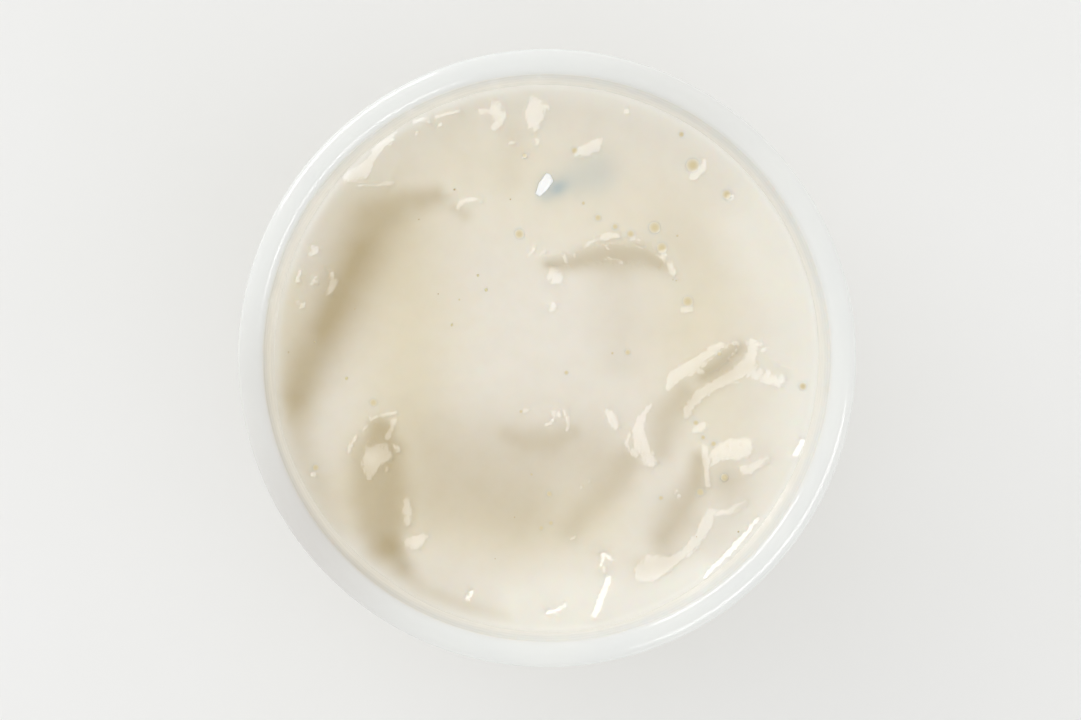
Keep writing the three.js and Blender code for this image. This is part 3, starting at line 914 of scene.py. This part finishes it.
def cheese_curd(settings):
    """Blue cheese, crumbled and wetted: white, waxy curd with blue-grey veins of mould."""
    material, tree = new_material("cheese_curd")
    buried = add_node(tree, "ShaderNodeAttribute", {"attribute_name": "buried"})
    veined = add_node(tree, "ShaderNodeMath", {"operation": "MULTIPLY"}, {
        0: blotches(tree, 1.6, (0.5, 0.62), (0.0, 1.0), detail=4.0),
        1: buried.outputs["Fac"],
    })
    shader = add_node(tree, "ShaderNodeBsdfPrincipled", inputs={
        "Base Color": layered(tree, settings.dressing.curd, (settings.dressing.mould, veined.outputs[0])),
        "Roughness": 0.22,
        "IOR": 1.45,
        "Subsurface Weight": 0.4,
        "Subsurface Radius": (1.0, 0.9, 0.8),
        "Subsurface Scale": 0.3 * MM,
        "Normal": ripples(tree, 0.25, 0.03, detail=3.0, strength=0.5),
    })
    add_node(tree, "ShaderNodeOutputMaterial", inputs={"Surface": shader.outputs["BSDF"]})
    return material


def oil_bead_material(settings):
    """Bead of golden oil or air in the skin: darkest in its middle, lost in the cream at its rim."""
    material, tree = new_material("oil_bead")
    middle = add_node(tree, "ShaderNodeAttribute", {"attribute_name": "middle"})
    depth = add_node(tree, "ShaderNodeMapRange", {"clamp": True}, {
        "Value": middle.outputs["Fac"], "From Min": 0.0, "From Max": 0.9, "To Min": 0.0, "To Max": 1.0,
    })
    skin = emulsion_base(tree, settings.dressing)
    shader = add_node(tree, "ShaderNodeBsdfPrincipled", inputs={
        "Base Color": layered(tree, skin, (linear("d9caa1"), depth.outputs["Result"])),
        "Roughness": 0.06,
        "IOR": 1.45,
    })
    add_node(tree, "ShaderNodeOutputMaterial", inputs={"Surface": shader.outputs["BSDF"]})
    return material


def speck_material(name, dark, pale):
    """Ground pepper or dried herb, wetted by the dressing: matt, its grains unequal in colour."""
    material, tree = new_material(name)
    uneven = blotches(tree, 0.15, (0.4, 0.6), (0.0, 1.0))
    shader = add_node(tree, "ShaderNodeBsdfPrincipled", inputs={
        "Base Color": layered(tree, linear(dark), (linear(pale), uneven)),
        "Roughness": 0.5,
        "Subsurface Weight": 0.5,
        "Subsurface Radius": (1.0, 0.7, 0.4),
        "Subsurface Scale": 0.1 * MM,
    })
    add_node(tree, "ShaderNodeOutputMaterial", inputs={"Surface": shader.outputs["BSDF"]})
    return material


def matt_tabletop(settings):
    """Pale laminate tabletop, matt and almost even."""
    material, tree = new_material("matt_tabletop")
    uneven = blotches(tree, 60, (0.3, 0.7), (0.0, 1.0), detail=3.0)
    shader = add_node(tree, "ShaderNodeBsdfPrincipled", inputs={
        "Base Color": layered(tree, settings.studio.floor_colour, (linear("ebebe9"), uneven)),
        "Roughness": 0.8,
    })
    add_node(tree, "ShaderNodeOutputMaterial", inputs={"Surface": shader.outputs["BSDF"]})
    return material


# Operators

class DRESSINGCUP_OT_cup(bpy.types.Operator):
    """Add the moulded portion cup"""

    bl_idname = "dressing_cup.cup"
    bl_label = "Add Cup"

    def execute(self, context):
        settings = context.scene.dressing_cup
        cup = settings.cup
        bm = bmesh.new()
        verts = [bm.verts.new((point.x, 0, point.y)) for point in self.profile(cup)]
        edges = [bm.edges.new(pair) for pair in zip(verts, verts[1:])]
        bmesh.ops.spin(bm, geom=verts + edges, cent=(0, 0, 0), axis=(0, 0, 1), angle=2 * math.pi,
                       steps=cup.segments, use_merge=True)
        bmesh.ops.remove_doubles(bm, verts=bm.verts, dist=0.001 * MM)
        bmesh.ops.recalc_face_normals(bm, faces=bm.faces)
        piece = build("portion_cup", bm, milky_polypropylene(settings), ["cup"])
        self.add_film(piece, settings)
        return {"FINISHED"}

    def profile(self, cup):
        """The cup's section, from the axis under the floor out and up, over the lip and back."""
        inside, outside = inside_corners(cup), inside_corners(cup, -cup.wall)
        ring_outer = cup.floor_radius - 0.4 * MM
        ring_inner = ring_outer - cup.foot_ring_width
        lip_foot = cup.height - cup.lip_crown
        skirt_foot = cup.height - cup.skirt_depth
        skirt_inner = cup.lip_radius - cup.wall
        edge = 0.3 * MM
        heights = [cup.height - depth * MM for depth in RING_DEPTHS]
        return rounded([
            (0, cup.foot_recess, 0),
            (ring_inner - cup.foot_recess, cup.foot_recess, edge),
            (ring_inner, 0, edge),
            (ring_outer, 0, edge),
            (cup.floor_radius + cup.wall, cup.floor_height, 1.2 * MM),
            outside[2],
            outside[3],
            *arch(cup.mouth_radius + cup.wall, skirt_inner, lip_foot - cup.wall, cup.lip_crown),
            (skirt_inner, skirt_foot, edge),
            (cup.lip_radius, skirt_foot, edge),
            *arch(cup.lip_radius, cup.mouth_radius, lip_foot, cup.lip_crown),
            *wall_rings(cup, heights),
            inside[3],
            inside[2],
            inside[1],
            inside[0],
        ])

    def add_film(self, piece, settings):
        """How thickly the dressing coats the inner wall, where it shows through the plastic, and the painted
        shade round one side of the cup.
        """
        cup = settings.cup
        x, y, z = places(piece).T
        inner = np.hypot(x, y) < collar_radius(cup, z) + cup.wall / 2
        top = settings.dressing.fill_level + (FILM_HEIGHT + FILM_RISE * facing(x, y, *FILM_SIDE)) * MM
        film = np.clip((top - z) / (FILM_FADE * MM), 0, 1) * inner * (z > cup.height / 2)
        store(piece, "film", film)
        # Painted shade round one side of the cup
        painted_lip_shades = [amount * facing(x, y, azimuth, spread, 2) for amount, azimuth, spread in LIP_SHADES]
        store(piece, "lip_shade", sum(painted_lip_shades))
        depth = (settings.dressing.fill_level - z) / MM
        store(piece, "backing", SHOW_THROUGH * np.clip(depth / SHOW_FADE, 0, 1))


class DRESSINGCUP_OT_dressing(bpy.types.Operator):
    """Add the dressing, folded and dimpled on top"""

    bl_idname = "dressing_cup.dressing"
    bl_label = "Add Dressing"

    def execute(self, context):
        settings = context.scene.dressing_cup
        skin = shared_skin()
        bm = bmesh.new()
        count = settings.dressing.coarse_cells
        bmesh.ops.create_grid(bm, x_segments=count, y_segments=count, size=1)
        for margin in REFINE_MARGINS:
            self.refine(bm, skin, margin)
        self.shape_top(bm, skin, settings)
        self.close_below(bm, settings)
        bmesh.ops.recalc_face_normals(bm, faces=bm.faces)
        piece = build("dressing_body", bm, whipped_emulsion(settings), ["dressing"])
        x, y, _ = places(piece).T / MM
        store_tones(piece, skin, settings.dressing, x, y)
        store(piece, "spread", np.clip((skin.rim - np.hypot(x, y)) / SPREAD_REACH, 0, 1))
        return {"FINISHED"}

    def on_disc(self, points, radius=1.0):
        """Moves points of a square to the disc inside it."""
        x, y = points[:, 0], points[:, 1]
        return x * np.sqrt(1 - y * y / 2) * radius, y * np.sqrt(1 - x * x / 2) * radius

    def refine(self, bm, skin, margin):
        """Halves the cells near a crease."""
        centres = np.array([face.calc_center_median() for face in bm.faces])
        x, y = self.on_disc(centres, skin.rim)
        near = skin.creased(x, y, margin)
        chosen = [face for face, wanted in zip(bm.faces, near) if wanted and len(face.verts) == 4]
        edges = list({edge for face in chosen for edge in face.edges})
        bmesh.ops.subdivide_edges(bm, edges=edges, cuts=1, use_grid_fill=True, use_single_edge=True)

    def shape_top(self, bm, skin, settings):
        """Lays the flat square into the cup and gives it the skin's heights."""
        points = np.array([vert.co for vert in bm.verts])
        x, y = self.on_disc(points)
        azimuth = np.arctan2(y, x)
        rim = skin.rim * MM
        wall_height = skin.at(rim * np.cos(azimuth), rim * np.sin(azimuth))
        reach = collar_radius(settings.cup, wall_height) + settings.dressing.wall_bite
        x, y = x * reach, y * reach
        z = skin.at(x, y)
        for vert, place in zip(bm.verts, np.stack([x, y, z], -1)):
            vert.co = place

    def close_below(self, bm, settings):
        """Extends the skin's edge down along the wall and over the floor."""
        cup = settings.cup
        corners = inside_corners(cup, -settings.dressing.wall_bite)
        start = (collar_radius(cup, settings.dressing.fill_level) + settings.dressing.wall_bite,
                 settings.dressing.fill_level, 0)
        edges = [edge for edge in bm.edges if edge.is_boundary]
        for edge in edges:
            edge.smooth = False
        for point in rounded([start, *reversed(corners)])[1:]:
            made = bmesh.ops.extrude_edge_only(bm, edges=edges)["geom"]
            edges = [item for item in made if isinstance(item, bmesh.types.BMEdge)]
            for vert in (item for item in made if isinstance(item, bmesh.types.BMVert)):
                flat = vert.co.xy.normalized() * point.x
                vert.co = (flat.x, flat.y, point.y)
        bmesh.ops.remove_doubles(bm, verts=bm.verts, dist=0.001 * MM)


class DRESSINGCUP_OT_crumb(bpy.types.Operator):
    """Add the crumb of blue cheese, sunk in the dressing but for its tip"""

    bl_idname = "dressing_cup.crumb"
    bl_label = "Add Cheese Crumb"

    def execute(self, context):
        settings = context.scene.dressing_cup
        skin = shared_skin()
        bm = bmesh.new()
        self.add_lump(bm, skin)
        self.add_tip(bm, skin)
        piece = build("blue_cheese_crumb", bm, cheese_curd(settings), ["cheese_crumb"])
        fuse = piece.modifiers.new("fuse", "REMESH")
        fuse.mode = "VOXEL"
        fuse.voxel_size = FUSE_VOXEL * MM
        fuse.use_smooth_shade = True
        soften = piece.modifiers.new("soften", "SMOOTH")
        soften.iterations = 12
        bpy.context.view_layer.update()
        fused = bpy.data.meshes.new_from_object(piece.evaluated_get(context.evaluated_depsgraph_get()))
        piece.modifiers.clear()
        piece.data = fused
        x, y, z = places(piece).T
        store(piece, "buried", np.clip((skin.at(x, y) - z) / (VEIN_DEPTH * MM), 0, 1))
        return {"FINISHED"}

    def add_lump(self, bm, skin):
        """The sunk part: an uneven lump in the place of the crumb's own box."""
        low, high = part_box("cheese_crumb")
        centre, half = (low + high) / 2, (high - low) / 2
        made = bmesh.ops.create_icosphere(bm, subdivisions=5, radius=1)
        turn = Matrix.Rotation(math.radians(14), 3, "Z")
        for vert in made["verts"]:
            rough = 1 + 0.1 * noise.fractal(vert.co * 2.2, 0.8, 2, 4)
            place = centre + turn @ Vector(c * h * LUMP_SHARE for c, h in zip(vert.co * rough, half))
            place.z = min(place.z, float(skin.at(place.x, place.y)) - LUMP_COVER * MM)
            vert.co = place

    def add_tip(self, bm, skin):
        """The bare tip: the hull of its outline under the skin and of its ridge over it."""
        foot = [Vector((x * MM, y * MM, 0)) for x, y in TIP_OUTLINE]
        ridge = [Vector((x * MM, y * MM, 0)) for x, y in TIP_RIDGE]
        middle = sum(foot, Vector()) / len(foot)
        level = float(skin.at(middle.x, middle.y))
        verts = []
        for point in foot:
            wider = middle + (point - middle) * TIP_FLARE
            verts.append(bm.verts.new((point.x, point.y, level)))
            verts.append(bm.verts.new((wider.x, wider.y, level - TIP_DEPTH * MM)))
        for point in ridge:
            verts.append(bm.verts.new((point.x, point.y, level + TIP_RISE * MM)))
        bmesh.ops.convex_hull(bm, input=verts)


class DRESSINGCUP_OT_beads(bpy.types.Operator):
    """Add the beads of oil and air in the skin"""

    bl_idname = "dressing_cup.beads"
    bl_label = "Add Oil Beads"

    def execute(self, context):
        settings = context.scene.dressing_cup
        skin = shared_skin()
        bm = bmesh.new()
        middles = []
        for x, y, radius, bulge in BEADS:
            radius *= BEAD_SPREAD
            made = bmesh.ops.create_icosphere(bm, subdivisions=3, radius=1)
            for vert in made["verts"]:
                flat = min(vert.co.xy.length, 1)
                middles.append(1 - flat * flat)
                px, py = (x + vert.co.x * radius) * MM, (y + vert.co.y * radius) * MM
                over = bulge * (1 - flat * flat) if vert.co.z > 0 else 0.5 * vert.co.z
                vert.co = (px, py, float(skin.at(px, py)) + (over * radius + BEAD_PROUD) * MM)
        piece = build("oil_beads", bm, oil_bead_material(settings))
        store(piece, "middle", middles)
        x, y, _ = places(piece).T / MM
        store_tones(piece, skin, settings.dressing, x, y)
        return {"FINISHED"}


class DRESSINGCUP_OT_specks(bpy.types.Operator):
    """Add the specks of pepper and herb"""

    bl_idname = "dressing_cup.specks"
    bl_label = "Add Specks"

    def execute(self, context):
        draw = random.Random(7)
        pepper = speck_material("ground_pepper", "c0ab82", "d6c6a2")
        herb = speck_material("dried_herb", "d6cb9d", "e0d6ae")
        self.scatter("pepper_specks", PEPPER, pepper, draw)
        self.scatter("herb_specks", HERB, herb, draw)
        return {"FINISHED"}

    def scatter(self, name, specks, material, draw):
        """Small angular grains, half sunk in the skin."""
        skin = shared_skin()
        bm = bmesh.new()
        for x, y, radius in specks:
            made = bmesh.ops.create_icosphere(bm, subdivisions=2, radius=1)
            level = float(skin.at(x * MM, y * MM))
            for vert in made["verts"]:
                corner = vert.co * draw.uniform(0.65, 1.0) * radius * MM
                vert.co = (x * MM + corner.x, y * MM + corner.y, level + corner.z * 0.2)
        build(name, bm, material, smooth=False)


class DRESSINGCUP_OT_studio(bpy.types.Operator):
    """Add the floor, the two soft boxes, the room's light and the camera"""

    bl_idname = "dressing_cup.studio"
    bl_label = "Add Studio"

    def execute(self, context):
        settings = context.scene.dressing_cup
        context.scene.view_settings.view_transform = "Standard"
        self.add_floor(settings)
        target = Vector((0, 0, settings.dressing.fill_level))
        distance = settings.studio.light_distance
        for name, light in (("high_softbox", HIGH_LIGHT), ("low_softbox", LOW_LIGHT)):
            self.add_light(name, light, target, distance).visible_diffuse = False
        for name, light in (("high_fill", HIGH_FILL), ("low_fill", LOW_FILL)):
            self.add_light(name, light, target, distance).visible_glossy = False
        world = bpy.data.worlds.new("room")
        context.scene.world = world
        world.use_nodes = True
        background = world.node_tree.nodes["Background"]
        background.inputs["Color"].default_value = (1, 1, 1, 1)
        background.inputs["Strength"].default_value = settings.studio.sky
        self.add_camera(context, settings)
        return {"FINISHED"}

    def add_floor(self, settings):
        bm = bmesh.new()
        bmesh.ops.create_grid(bm, x_segments=1, y_segments=1, size=3)
        mesh = bpy.data.meshes.new("tabletop")
        bm.to_mesh(mesh)
        bm.free()
        mesh.materials.append(matt_tabletop(settings))
        floor = bpy.data.objects.new("tabletop", mesh)
        bpy.context.scene.collection.objects.link(floor)

    def add_light(self, name, light, target, distance):
        data = bpy.data.lights.new(name, "AREA")
        data.shape = "RECTANGLE"
        data.size, data.size_y = light["size"]
        data.energy = light["radiance"] * math.pi * data.size * data.size_y
        lamp = bpy.data.objects.new(name, data)
        direction = toward(light)
        lamp.location = target + direction * distance
        lamp.rotation_euler = direction.to_track_quat("Z", "Y").to_euler()
        bpy.context.scene.collection.objects.link(lamp)
        return lamp

    def add_camera(self, context, settings):
        studio = settings.studio
        data = bpy.data.cameras.new("camera")
        data.lens = data.sensor_width * studio.eye_height / studio.view_width
        camera = bpy.data.objects.new("camera", data)
        camera.location = (studio.eye_x, studio.eye_y, settings.cup.height + studio.eye_height)
        context.scene.collection.objects.link(camera)
        context.scene.camera = camera


class DRESSINGCUP_PT_panel(bpy.types.Panel):
    """Panel in the 3D view's sidebar."""

    bl_label = "Dressing Cup"
    bl_idname = "DRESSINGCUP_PT_panel"
    bl_space_type = "VIEW_3D"
    bl_region_type = "UI"
    bl_category = "Dressing Cup"

    def draw(self, context):
        settings = context.scene.dressing_cup
        for group in (settings.cup, settings.dressing, settings.studio):
            box = self.layout.box()
            for name in group.__annotations__:
                box.prop(group, name)
        for operator in OPERATORS:
            self.layout.operator(operator.bl_idname)


OPERATORS = (
    DRESSINGCUP_OT_cup,
    DRESSINGCUP_OT_dressing,
    DRESSINGCUP_OT_crumb,
    DRESSINGCUP_OT_beads,
    DRESSINGCUP_OT_specks,
    DRESSINGCUP_OT_studio,
)
CLASSES = (
    CupSettings,
    DressingSettings,
    StudioSettings,
    DressingCupSettings,
    *OPERATORS,
    DRESSINGCUP_PT_panel,
)


def register():
    for item in CLASSES:
        bpy.utils.register_class(item)
    bpy.types.Scene.dressing_cup = PointerProperty(type=DressingCupSettings)


def unregister():
    del bpy.types.Scene.dressing_cup
    for item in reversed(CLASSES):
        bpy.utils.unregister_class(item)


def main():
    register()
    bpy.ops.dressing_cup.studio()
    bpy.ops.dressing_cup.cup()
    bpy.ops.dressing_cup.dressing()
    bpy.ops.dressing_cup.crumb()
    bpy.ops.dressing_cup.beads()
    bpy.ops.dressing_cup.specks()


if __name__ == "__main__":
    main()
